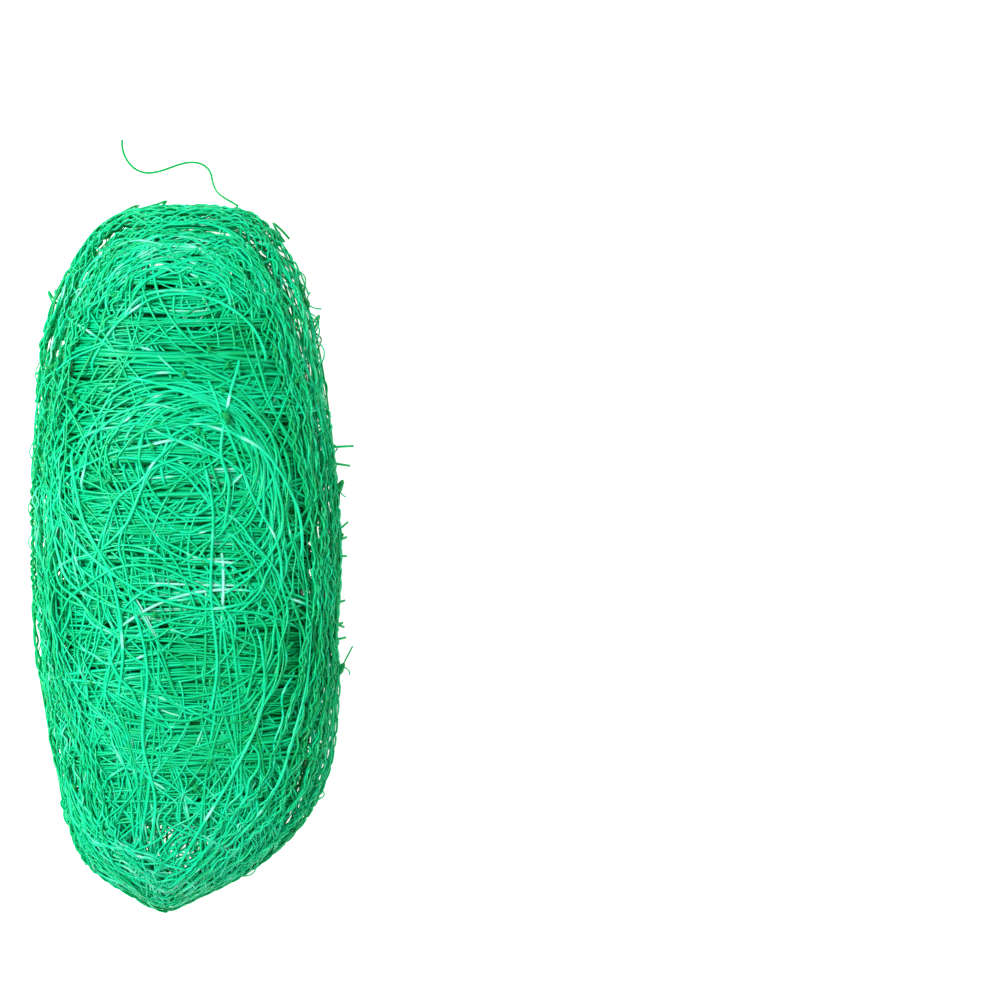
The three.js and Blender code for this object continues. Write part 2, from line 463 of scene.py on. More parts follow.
def makeCore():
    # Sections of the form drawn in by depth, more so towards the two ends, with lumps of sine by sine
    c = core
    t = np.linspace(0, 1, c["lengthSteps"])
    y = c["bottom"] + (c["top"] - c["bottom"]) * (0.5 - 0.5 * np.cos(np.pi * t))
    fromEnd = np.minimum(y - c["bottom"], c["top"] - y)
    endShare = np.clip(1 - fromEnd / c["roundness"], 0, 1)
    drawn = 1 - np.sqrt(np.maximum(1 - endShare**2, 0))
    angle = np.arange(c["girthSteps"]) / c["girthSteps"] * 2 * np.pi
    yy, aa = np.meshgrid(y, angle, indexing="ij")
    lumps = c["lump"] * np.sin(2 * np.pi * yy / c["lumpLength"] + 2 * np.sin(aa))
    lumps = lumps * np.sin(c["lumpsRound"] * aa + yy / c["lumpSlant"])
    skin = turnPoints(yy, aa, c["depth"] + c["sideDepth"] * np.cos(aa) ** sideSharpness + lumps)
    middle = np.stack([middleAt(yy), yy, heightAt(yy)], axis=-1)
    points = middle + (skin - middle) * (1 - drawn[:, None, None])
    rows, columns = len(y), len(angle)
    step, corner = np.meshgrid(np.arange(rows - 1), np.arange(columns), indexing="ij")

    def at(k, j):
        return k * columns + j % columns

    gathered = Strands()
    gathered.points = [points.reshape(-1, 3)]
    gathered.quads = [np.stack([
        at(step, corner), at(step + 1, corner), at(step + 1, corner + 1), at(step, corner + 1),
    ], axis=-1).reshape(-1, 4)]
    gathered.tones = [np.full(rows * columns, c["tone"])]
    gathered.piece("inner_windings", tape)


print("stage: inner windings")
makeCore()

# Short turns round the girth, in three depths, deeper where they go round the sides; the deeper layers have a
# lower tone, as painted shade
turnLayers = [
    {"name": "turns_deep", "count": 165, "depth": 5.8, "tone": 0.57, "width": 4.0, "paintedFlashes": 0,
     "paintedGlintShare": 0},
    {"name": "turns_middle", "count": 170, "depth": 4.2, "tone": 0.61, "width": 3.0, "paintedFlashes": 0,
     "paintedGlintShare": 0.1},
    {"name": "turns_upper", "count": 170, "depth": 2.6, "tone": 0.69, "width": 1.6, "paintedFlashes": 0.3,
     "paintedGlintShare": 0.25},
]
turns = {"bottom": -130, "top": 138, "least": 1.7, "steps": 60, "sideDepth": 12.5, "bundle": 17,
         "gather": 0.8, "rise": 1.4, "slope": 3.5, "wander": 3, "ripple": 0.8, "unevenness": 1.2,
         "depthWander": 0.9, "depthSpread": 0.6, "toneSpread": 0.06, "widthSpread": (0.7, 1.2),
         "thickness": 0.6}


def makeTurns(layer):
    # Closed turns: height y wanders along each, gathered into bundles, and depth follows the bundles
    n, steps = layer["count"], turns["steps"]
    y0 = np.linspace(turns["bottom"], turns["top"], n) + rng.normal(0, turns["unevenness"], n)
    y0 += turns["gather"] * turns["bundle"] / (2 * np.pi) * np.sin(2 * np.pi * y0 / turns["bundle"])
    angle = np.arange(steps) / steps * 2 * np.pi + rng.uniform(0, 0.1, (n, 1))
    y = y0[:, None] + turns["wander"] * wave(n, steps, 3, True) + turns["ripple"] * wave(n, steps, 10, True)
    y = y + rng.normal(0, turns["slope"], (n, 1)) * np.cos(angle + rng.uniform(-0.5, 0.5, (n, 1)))
    depth = layer["depth"] + turns["depthWander"] * wave(n, steps, 5, True)
    depth = depth + rng.normal(0, turns["depthSpread"], (n, 1))
    depth = depth - turns["rise"] * np.cos(2 * np.pi * y / turns["bundle"])
    depth = np.maximum(depth, turns["least"]) + turns["sideDepth"] * np.cos(angle) ** sideSharpness
    points = turnPoints(y, angle, depth)
    tone = layer["tone"] + rng.normal(0, turns["toneSpread"], (n, 1))
    tone = tone + paintedFlash(n, steps, layer["paintedFlashes"])
    strands = Strands()
    strands.add(
        points,
        width=layer["width"] * rng.uniform(*turns["widthSpread"], (n, 1)),
        thickness=turns["thickness"],
        tone=tone + paintedLightAt(points, layer["paintedGlintShare"]),
        closed=True,
        twist=drawnTwist(n, steps, 2, 0.8, True),
    )
    strands.piece(layer["name"], tape)


for layer in turnLayers:
    print("stage:", layer["name"])
    makeTurns(layer)

# Long loops along the sides and over the round top, drawn together at the bottom
loops = {"count": 24, "steps": 150, "latitude": 70, "crowding": 0.9, "wander": 0.1, "ripple": 0.03,
         "depth": (0.4, 12), "depthWander": 1.6, "least": 0.3, "width": 1.5, "widthSpread": (0.7, 1.2),
         "thickness": 0.7, "tone": 0.62, "toneSpread": 0.08, "brightest": 0.86}
tipPull = {"share": 0.45, "length": 44}


def pulledToTip(s, amount):
    # A latitude or an inset, brought down near the bottom tip by a bell of the distance to it
    away = np.minimum(np.mod(s, 1), 1 - np.mod(s, 1)) * outlineLength
    return amount * (1 - tipPull["share"] * np.exp(-((away / tipPull["length"]) ** 2)))


def makeLoops():
    # Closed loops, three in five of them on the front, each of its own latitude and depth,
    # with a slow wander and a ripple of both
    n, steps = loops["count"], loops["steps"]
    latitude = np.radians(loops["latitude"]) * rng.uniform(0, 1, (n, 1)) ** loops["crowding"]
    latitude = latitude * np.where(np.arange(n) % 5 < 3, 1, -1)[:, None]
    latitude = latitude + loops["wander"] * wave(n, steps, 3, True)
    latitude = latitude + loops["ripple"] * wave(n, steps, 16, True)
    depth = rng.uniform(*loops["depth"], (n, 1)) + loops["depthWander"] * wave(n, steps, 8, True)
    s = np.linspace(0, 1, steps, endpoint=False) + rng.uniform(0, 1 / steps, (n, 1))
    strands = Strands()
    strands.add(
        loopPoints(s, pulledToTip(s, latitude), np.maximum(depth, loops["least"])),
        width=drawnWidth(loops, n),
        thickness=loops["thickness"],
        tone=drawnTone(loops, n),
        closed=True,
        twist=drawnTwist(n, steps, 4, 0.9, True),
    )
    strands.piece("long_loops", tape)


print("stage: long loops")
makeLoops()

# Pairs of strands that cross and part like links, where meshes of the net lie drawn out along the rim.
# Each pair lies in the same plan path at several levels, from the front's skin down to the back's.
chainGroups = [
    {"name": "rim_meshes", "pairs": 24, "middle": (0, 1), "length": (130, 300),
     "levels": (0.96, 0.55, 0.1, -0.4, -0.88),
     "swing": (0.5, 1.4), "steps": 90},
    {"name": "left_meshes", "pairs": 9, "middle": (0.61, 0.97), "length": (90, 220),
     "levels": (0.98, 0.45, -0.1, -0.75), "swing": (0.6, 1.5), "steps": 76},
    {"name": "right_meshes", "pairs": 11, "middle": (0.06, 0.46), "length": (90, 220),
     "levels": (0.98, 0.45, -0.1, -0.75), "swing": (0.5, 1.2), "steps": 76},
    {"name": "top_meshes", "pairs": 15, "middle": (0.37, 0.6), "length": (70, 180),
     "levels": (0.97, 0.5, 0, -0.5, -0.95), "swing": (0.6, 1.6), "steps": 70, "reach": 1.7},
]
chain = {"link": (9, 22), "width": 1.45, "widthSpread": (0.75, 1.2), "thickness": 0.8, "tone": 0.68,
         "toneSpread": 0.08, "brightest": 0.86, "spread": 0.15, "crowding": 1.1, "near": 0.4,
         "least": 0.8, "insetWander": (3, 0.5), "swingWander": 0.6, "linkWander": 0.3, "levelWander": 0.16,
         "endDrop": 0.1, "bob": 2.4, "bobWander": 1.5, "paintedFlashes": 0.2, "paintedFlashReach": 1.5, "paintedFlashMost": 0.3}
# How far in from the outline the drawn-out meshes lie, by height up the hank
bandRows = [
    (-178, 34), (-130, 34), (-95, 30), (-60, 20), (-20, 16), (60, 17), (110, 22), (150, 26), (180, 26),
]


def bandWidthAt(y):
    heights, widths = zip(*bandRows)
    return np.interp(y, heights, widths)


def bandPoints(s, inset, aside, level, bob):
    # Points inset from the plan's outline towards the spine and swung aside, at a share of the form's height
    # there, with a bob up and down that fades towards its front and back
    edge = outlineAt(s)
    spineY = np.clip(edge[..., 1], *hank["spine"])
    spine = np.stack([middleAt(spineY), spineY], axis=-1)
    out = edge - spine
    reach = np.linalg.norm(out, axis=-1)[..., None]
    steady = spine + out * np.maximum(reach - inset[..., None], 1) / reach
    plan = spine + out * np.maximum(reach - np.maximum(inset + aside, 0.3)[..., None], 1) / reach
    y = plan[..., 1]
    rise = surfaceHeight(steady[..., 0], steady[..., 1], 1, 0.4) - heightAt(steady[..., 1])
    z = heightAt(y) + level * rise + bob * np.sqrt(1 - level**2)
    return np.stack([plan[..., 0], y, z], axis=-1)


def makeChains(group):
    # The two of a pair swing apart in the plan by a sine whose sign is opposite for the two
    n, steps = group["pairs"], group["steps"]
    t = np.linspace(-0.5, 0.5, steps)
    length = rng.uniform(*group["length"], (n, 1))
    s = rng.uniform(*group["middle"], (n, 1)) + t * length / outlineLength
    band = bandWidthAt(outlineAt(s)[..., 1]) * group.get("reach", 1)
    inset = chain["near"] + band * rng.uniform(0, 1, (n, 1)) ** chain["crowding"]
    slow, quick = chain["insetWander"]
    inset = inset + slow * wave(n, steps, 2) + quick * wave(n, steps, 7)
    inset = np.maximum(pulledToTip(s, inset), chain["least"])
    swing = rng.uniform(*group["swing"], (n, 1)) * (1 + chain["swingWander"] * wave(n, steps, 3))
    links = t * length / rng.uniform(*chain["link"], (n, 1)) + chain["linkWander"] * wave(n, steps, 4)
    swing = swing * np.sin(2 * np.pi * links)
    strands = Strands()
    for level in group["levels"]:
        for side in (1, -1):
            aside = side * swing + chain["spread"] * wave(n, steps, 4)
            high = level + chain["levelWander"] * wave(n, steps, 3) - chain["endDrop"] * dive(t, depth=1)
            high = np.clip(high, -1, 1)
            bob = side * chain["bob"] * np.cos(2 * np.pi * links + level)
            bob = bob + chain["bobWander"] * wave(n, steps, 6)
            points = bandPoints(s, inset, aside, high, bob)
            tone = drawnTone(chain, n)
            tone = tone + paintedFlash(n, steps, chain["paintedFlashes"], chain["paintedFlashReach"], chain["paintedFlashMost"])
            strands.add(
                points,
                width=drawnWidth(chain, n),
                thickness=chain["thickness"],
                tone=tone + paintedLightAt(points, 0),
                twist=drawnTwist(n, steps, 3, 1),
            )
    strands.piece(group["name"], tape)


for group in chainGroups:
    print("stage:", group["name"])
    makeChains(group)


# How far across the front a section's points lie, in half widths, counted on along the skin past its shoulder
sideTurn = {"shoulder": 0.78, "steps": 400, "endRoom": 3, "least": 0.2}


def sideTable():
    # Angle of a section's skin against that distance, from the front's middle round the side to the back's
    p = 2 / hank["power"]
    angle = np.linspace(np.pi / 2, -np.pi / 2, sideTurn["steps"])
    x = power(np.cos(angle), p)
    z = hank["halfThickness"] / hank["halfWidth"] * power(np.sin(angle), p)
    run = np.r_[0, np.cumsum(np.hypot(np.diff(x), np.diff(z)))]
    k = np.searchsorted(x[: len(x) // 2], sideTurn["shoulder"])
    return np.r_[x[:k], x[k] + run[k:] - run[k]], angle


sideReach, sideAngle = sideTable()


def overFront(x, y, side, depth):
    # Lifts plan curves onto the form's front or back; where they pass the rim they go on round the side
    y = np.clip(y, formRows[-1, 0] + sideTurn["endRoom"], formRows[0, 0] - sideTurn["endRoom"])
    reach = (x - middleAt(y)) / np.maximum(halfWidthAt(y), 2)
    angle = np.interp(np.abs(reach), sideReach, sideAngle)
    angle = np.where(reach < 0, np.pi - angle, angle)
    return turnPoints(y, side * angle, np.maximum(depth, sideTurn["least"]))


# Slack bights over the front: arcs of circles round a point, each strand with its own radius and reach.
# By the point's x and y, the radius, the degrees where they start and that they sweep, count and jitter
bightGroups = [
    (-5, 33, (50, 58), (-50, -10), (110, 170), 9, 2),
    (7, 45, (27, 37), (-80, -30), (130, 220), 14, 4),
    (-10, 38, (30, 46), (60, 100), (90, 150), 12, 6),
    (2, 40, (20, 34), (0, 360), (90, 160), 10, 8),
    (-5, 8, (48, 56), (-60, -20), (60, 100), 8, 3),
    (-10, -38, (46, 64), (-70, -30), (70, 130), 12, 8),
    (34, 40, (92, 104), (155, 175), (30, 60), 8, 4),
    (-6, 104, (42, 52), (10, 35), (110, 150), 8, 6),
    (-2, 112, (20, 48), (-10, 40), (110, 180), 18, 9),
    (-4, 98, (44, 60), (10, 60), (80, 130), 11, 8),
    (12, -50, (46, 70), (140, 200), (50, 90), 12, 12),
    (-8, -96, (50, 66), (180, 215), (50, 90), 16, 5),
    (-8, -104, (44, 58), (280, 330), (40, 70), 10, 6),
    (0, 10, (28, 70), (0, 360), (70, 150), 56, 46),
]
bights = {"steps": 44, "width": (1.0, 1.7), "thickness": 0.7, "tone": 0.78, "toneSpread": 0.06,
          "brightest": 0.85, "paintedFlashes": 0.15, "paintedGlintShare": 0.12, "depth": 0.6, "depthSpread": 1.2,
          "depthWander": 0.5, "strandsTogether": 2, "strandSpread": 1, "offset": 1.4, "widest": 22,
          "radiusSpread": 1.6, "radiusWander": 0.08, "startSpread": 6}


def together(count, share, low, high):
    # One draw from low to high for each family of neighbours, repeated for its strands
    families = -(-count // share)
    return np.repeat(rng.uniform(low, high, (families, 1)), share, axis=0)[:count]


def makeBights():
    # Arcs: centre plus radius by cosine and sine of an angle that runs evenly, with a slow wander of both
    strands = Strands()
    b, t = bights, np.linspace(0, 1, bights["steps"])
    share, offset, apart = b["strandsTogether"], b["offset"], b["strandSpread"]
    for x, y, radii, starts, sweeps, n, jitter in bightGroups:
        across = min(jitter, b["widest"])
        x0 = x + offset * together(n, share, -across, across) + rng.normal(0, apart, (n, 1))
        y0 = y + offset * together(n, share, -jitter, jitter) + rng.normal(0, apart, (n, 1))
        radius = together(n, share, *radii) + rng.normal(0, b["radiusSpread"], (n, 1))
        radius = radius * (1 + b["radiusWander"] * wave(n, len(t), 1.5))
        start = together(n, share, *starts) + rng.normal(0, b["startSpread"], (n, 1))
        angle = np.radians(start + rng.uniform(*sweeps, (n, 1)) * t)
        depth = b["depth"] + np.abs(rng.normal(0, b["depthSpread"], (n, 1)))
        depth = depth + b["depthWander"] * wave(n, len(t), 3) + dive(t)
        points = overFront(x0 + radius * np.cos(angle), y0 + radius * np.sin(angle), 1, depth)
        tone = drawnTone(b, n) + paintedFlash(n, len(t), b["paintedFlashes"])
        strands.add(
            points,
            width=rng.uniform(*b["width"], (n, 1)),
            thickness=b["thickness"],
            tone=tone + paintedLightAt(points, b["paintedGlintShare"]),
            sides=4,
            twist=drawnTwist(n, len(t), 2, 0.6),
        )
    strands.piece("bights", tape)


print("stage: bights")
makeBights()

# Loose strands over the front and the back, by where they start and how they head
tangleRows = [
    {"x": (-70, -26), "y": (-110, 118), "heading": (44, 74), "length": (90, 180), "radius": (60, 260),
     "count": 57},
    {"x": (30, 68), "y": (-110, 118), "heading": (44, 78), "length": (80, 170), "radius": (60, 260),
     "count": 45},
    {"x": (-45, 45), "y": (-105, 126), "heading": (0, 16), "length": (80, 160), "radius": (70, 240),
     "count": 36},
    {"x": (-36, 40), "y": (-108, -12), "heading": (0, 9), "length": (60, 120), "radius": (160, 500),
     "count": 54},
    {"x": (-45, 45), "y": (-20, 126), "heading": (20, 90), "length": (110, 200), "radius": (40, 110),
     "count": 33},
    {"x": (-40, 36), "y": (124, 154), "heading": (0, 90), "length": (40, 110), "radius": (28, 70),
     "count": 30, "backShare": 0.3},
    {"x": (-46, 40), "y": (-120, -80), "heading": (66, 90), "length": (60, 120), "radius": (90, 400),
     "count": 42},
    {"x": (-30, -8), "y": (-105, -40), "heading": (80, 98), "length": (70, 140), "radius": (200, 700),
     "count": 12},
    {"x": (6, 30), "y": (-105, -30), "heading": (82, 104), "length": (80, 150), "radius": (150, 600),
     "count": 14},
]
tangle = {"steps": 38, "width": (1.0, 1.6), "thickness": 0.65, "tone": 0.71, "toneSpread": 0.07,
          "brightest": 0.84, "paintedFlashes": 0.15, "paintedGlintShare": 0.15, "depth": 1.2,
          "depthSpread": 1.8, "depthWander": 0.6, "strandsTogether": 3, "apart": 5, "headingSpread": 2,
          "courseWander": 0.05}


def makeTangle(name, side):
    # Arcs in the plan: the heading turns evenly along each, and its cosine and sine are summed up.
    # Neighbours of a family run side by side, a few millimetres apart
    strands = Strands()
    steps = tangle["steps"]
    t = np.linspace(-0.5, 0.5, steps)
    for row in tangleRows:
        n = round(row["count"] * (1 if side > 0 else row.get("backShare", 1)))
        family = tangle["strandsTogether"]
        radius = together(n, family, *row["radius"]) * np.sign(together(n, family, -1, 1))
        length = rng.uniform(*row["length"], (n, 1))
        heading = together(n, family, *row["heading"]) + rng.normal(0, tangle["headingSpread"], (n, 1))
        heading = np.radians(heading)
        heading = heading * np.sign(together(n, family, -1, 1))
        course = heading + t * length / radius + tangle["courseWander"] * wave(n, steps, 2)
        stepX = np.cos(course) * length / steps
        stepY = np.sin(course) * length / steps
        startX = together(n, family, *row["x"]) + rng.uniform(-1, 1, (n, 1)) * tangle["apart"]
        startY = together(n, family, *row["y"]) + rng.uniform(-1, 1, (n, 1)) * tangle["apart"]
        x = startX + np.cumsum(stepX, axis=1) - stepX.sum(1, keepdims=True) / 2
        y = startY + np.cumsum(stepY, axis=1) - stepY.sum(1, keepdims=True) / 2
        depth = tangle["depth"] + np.abs(rng.normal(0, tangle["depthSpread"], (n, 1)))
        depth = depth + tangle["depthWander"] * wave(n, steps, 3) + dive(t)
        points = overFront(x, y, side, depth)
        tone = drawnTone(tangle, n) + paintedFlash(n, steps, tangle["paintedFlashes"])
        strands.add(
            points,
            width=rng.uniform(*tangle["width"], (n, 1)),
            thickness=tangle["thickness"],
            tone=tone + paintedLightAt(points, tangle["paintedGlintShare"]),
            sides=4,
            twist=drawnTwist(n, steps, 2, 0.7),
        )
    strands.piece(name, tape)


print("stage: loose strands on the front")
makeTangle("tangle_front", 1)
print("stage: loose strands on the back")
makeTangle("tangle_back", -1)

# Single broad strands that stand out on the front: the width of each, and its points in the plan
broadStrands = [
    (1.6, [(-34, 92), (-5, 85), (18, 74), (21, 66), (41, 53), (57, 25), (60, -6)]),
    (1.6, [(30, 104), (24, 84), (22, 74), (19, 53), (23, 37), (20, 10)]),
    (1.6, [(12, 92), (21, 68), (26, 55), (35, 31), (47, 8), (50, -20)]),
    (1.5, [(-2, 60), (-16, 46), (-21, 34), (-28, 18), (-44, 2)]),
    (1.5, [(10, 52), (15, 26), (14, -14), (17, -54), (12, -84)]),
    (1.5, [(66, -22), (62, -59), (57, -80), (44, -117), (20, -146)]),
    (1.5, [(34, 66), (47, 36), (49, 15), (36, -6), (16, -20)]),
    (1.6, [(-58, 60), (-50, 20), (-36, -8), (-30, -44), (-34, -76)]),
    (1.5, [(-26, -16), (-18, -52), (-20, -90), (-14, -120), (-18, -148)]),
    (1.6, [(-64, 20), (-44, 0), (-20, -16), (10, -24), (40, -20)]),
    (1.5, [(-40, 112), (-14, 130), (12, 130), (34, 116), (44, 94)]),
    (1.6, [(38, -30), (40, -70), (26, -104), (8, -134), (-6, -158)]),
]
broad = {"steps": 60, "tone": 0.8, "paintedFlashes": 0.7, "paintedFlashReach": 1.8, "paintedFlashMost": 0.3, "depth": 0.5,
         "depthWander": 0.3, "diveShare": 0.1, "thickness": 0.6, "twistWander": 0.7}


def makeBroadStrands():
    # Smooth curves through the points, laid on the front and dipping in at both ends
    strands = Strands()
    t = np.linspace(0, 1, broad["steps"])
    for width, route in broadStrands:
        plan = smoothRows(route, broad["steps"])
        depth = broad["depth"] + broad["depthWander"] * wave(1, len(t), 3)[0] + dive(t, broad["diveShare"])
        points = overFront(plan[:, 0], plan[:, 1], 1, depth)[None]
        tone = broad["tone"] + paintedFlash(1, len(t), broad["paintedFlashes"], broad["paintedFlashReach"], broad["paintedFlashMost"])
        twist = broad["twistWander"] * wave(1, len(t), 2)
        strands.add(points, width, broad["thickness"], tone, sides=6, twist=twist)
    strands.piece("broad_strands", tape)


print("stage: broad strands")
makeBroadStrands()

# Strands drawn together into the blunt point at the bottom
gather = {"count": 184, "steps": 34, "start": (-140, -30), "tip": -175, "tipSpread": 9, "depth": 1.0,
          "width": 1.5, "widthSpread": (0.75, 1.2), "thickness": 0.65, "tone": 0.8, "toneSpread": 0.08,
          "brightest": 0.86, "middleShare": 0.6, "middleSpread": 0.75, "angleWander": 0.3, "drift": 0.9,
          "depthSpread": 2, "depthWander": 0.8, "startDive": 7, "diveShare": 0.15}


def makeGather():
    # Each runs down its own share of the girth, whose sections close in on the tip. Of those towards the
    # middle, every third is on the back
    g = gather
    n, steps = g["count"], g["steps"]
    t = np.linspace(0, 1, steps)
    towardsMiddle = np.arange(n)[:, None] < g["middleShare"] * n
    facing = np.where(np.arange(n) % 3 == 0, -1, 1)[:, None] * np.pi / 2
    allRound = rng.uniform(0, 2 * np.pi, (n, 1))
    angle = np.where(towardsMiddle, facing + rng.normal(0, g["middleSpread"], (n, 1)), allRound)
    angle = angle + g["angleWander"] * wave(n, steps, 1.5) + rng.normal(0, g["drift"], (n, 1)) * t**2
    startY = rng.uniform(*g["start"], (n, 1))
    endY = g["tip"] + rng.uniform(0, g["tipSpread"], (n, 1))
    y = startY + (endY - startY) * t
    depth = g["depth"] + np.abs(rng.normal(0, g["depthSpread"], (n, 1)))
    depth = depth + g["depthWander"] * wave(n, steps, 4)
    depth = depth + g["startDive"] * np.clip(1 - t / g["diveShare"], 0, 1) ** 2
    depth = np.minimum(depth, np.maximum(halfThicknessAt(y) - 2, 0.3))
    strands = Strands()
    strands.add(
        turnPoints(y, angle, depth),
        width=drawnWidth(g, n),
        thickness=g["thickness"],
        tone=drawnTone(g, n),
        twist=drawnTwist(n, steps, 2, 1),
    )
    strands.piece("bottom_gather", tape)


print("stage: bottom gather")
makeGather()

# Small slack loops that stand a little out of the outline, most of them over the top
rimBights = {"count": 70, "steps": 14, "length": (7, 22), "rise": (0.1, 1.5), "root": 2.5, "width": 1.3,
             "widthSpread": (0.7, 1.1), "thickness": 0.75, "tone": 0.64, "toneSpread": 0.1, "topShare": 0.6,
             "topSpread": 0.1, "latitudeSpread": 0.35, "latitudeWander": 0.1}


def makeRimBights():
    # Each leaves the outline and comes back: its depth is the root less a rise by sine squared
    r = rimBights
    n, steps = r["count"], r["steps"]
    t = np.linspace(0, 1, steps)
    overTop = np.arange(n)[:, None] < r["topShare"] * n
    start = np.where(overTop, rng.normal(0.5, r["topSpread"], (n, 1)), rng.uniform(0, 1, (n, 1)))
    s = start + rng.uniform(*r["length"], (n, 1)) * t / outlineLength
    depth = r["root"] - (r["root"] + rng.uniform(*r["rise"], (n, 1))) * np.sin(np.pi * t) ** 2
    latitude = rng.normal(0, r["latitudeSpread"], (n, 1)) + r["latitudeWander"] * wave(n, steps, 1)
    strands = Strands()
    strands.add(
        loopPoints(s, latitude, depth),
        width=drawnWidth(r, n),
        thickness=r["thickness"],
        tone=r["tone"] + rng.normal(0, r["toneSpread"], (n, 1)),
        sides=4,
    )
    strands.piece("rim_bights", tape)


print("stage: rim bights")
makeRimBights()

# Hairpin loops round the top, most at its left: where each ends, its heading in degrees, length and width
hairpins = [
    {"x": -24.4, "y": 177.9, "heading": 38, "length": 17, "width": 3.6},
    {"x": -11.0, "y": 180.0, "heading": 30, "length": 15, "width": 3.2},
    {"x": -17.5, "y": 176.4, "heading": 22, "length": 13, "width": 2.6},
    {"x": -37.5, "y": 170.2, "heading": 46, "length": 12, "width": 2.4},
    {"x": -62.4, "y": 139.2, "heading": 105, "length": 9, "width": 2.6},
    {"x": -69.0, "y": 133.9, "heading": 118, "length": 8, "width": 1.4},
    {"x": 43.5, "y": 168.3, "heading": 128, "length": 11, "width": 2.8},
    {"x": 66.5, "y": 121.8, "heading": 60, "length": 9, "width": 2.2},
]
# Cut ends that stand out of the right side: from a root to an end, in the plan
tails = [
    ((71.0, 56.0), (83.6, 56.7)), ((72.5, 48.2), (81.9, 46.8)),
    ((74.0, 12.5), (80.9, 18.7)), ((70.5, 6.8), (80.3, 11.2)),
    ((70.5, 2.2), (80.4, 1.6)), ((76.5, -56.5), (83.2, -43.5)),
    ((68.0, -24.0), (79.4, -20.5)), ((69.0, -29.5), (79.0, -33.8)),
    ((67.5, -35.0), (78.4, -31.6)), ((70.0, -41.0), (79.8, -39.0)),
]
ends = {"steps": 18, "width": 1.5, "tone": 0.5, "pinch": 0.45, "rise": 3, "bow": 0.12, "tailHeight": 6,
        "tailDrop": 4}


def makeEnds():
    # A hairpin runs out along its heading by a sine and across it by a cosine; a tail is a shallow bow
    strands = Strands()
    t = np.linspace(0, 1, ends["steps"])
    for row in hairpins:
        heading = np.radians(row["heading"])
        along = row["length"] * (np.sin(np.pi * t) - 1)
        pinch = 1 - ends["pinch"] * np.sin(np.pi * t) ** 2
        across = row["width"] / 2 * np.cos(np.pi * t) * pinch
        x = row["x"] + along * np.cos(heading) - across * np.sin(heading)
        y = row["y"] + along * np.sin(heading) + across * np.cos(heading)
        z = heightAt(y) + ends["rise"] * np.cos(np.pi * t)
        points = np.stack([x, y, z], axis=-1)[None]
        strands.add(points, ends["width"], ends["width"] * 0.8, ends["tone"], sides=6)
    for root, tip in tails:
        start, end = np.array(root), np.array(tip)
        line = start + (end - start) * t[:, None]
        bow = ends["bow"] * np.linalg.norm(end - start) * np.sin(np.pi * t)
        z = heightAt(line[:, 1]) + ends["tailHeight"] + bow - ends["tailDrop"] * t**2
        points = np.column_stack([line, z])[None]
        strands.add(points, ends["width"] * 0.9, ends["width"] * 0.6, ends["tone"], sides=6)
    strands.piece("edge_ends", tape)


print("stage: edge ends")
makeEnds()

# Knots of the net: lumps where strands meet, each with two short cut tails
knots = {
    "placed": [  # x and y in the plan, size, and how far out of the skin
        (76.8, 36.5, 2.3, 0.0), (77.6, -54.4, 2.1, 0.0), (21.4, 70.7, 2.2, 1.0), (76.6, 12.0, 1.8, 0.0),
        (-73.5, 27.0, 1.6, 0.0), (-66.0, 96.0, 1.6, 0.0), (60.5, 128.0, 1.7, 0.0), (-14.0, -27.0, 1.5, 1.0),
    ],
    "scattered": 64,
    "size": (0.9, 1.5),
    "rows": 7,
    "columns": 10,
    "tone": 0.4,
    "squash": (1.5, 0.85, 0.8),
    "ripple": 0.22,
    "edgeShare": 0.93,
    "tail": (3, 8),
    "tailSteps": 7,
    "tailDrop": 1.5,
    "tailWidth": 1.0,
    "tailThickness": 0.8,
    "tailTone": 0.6,
}


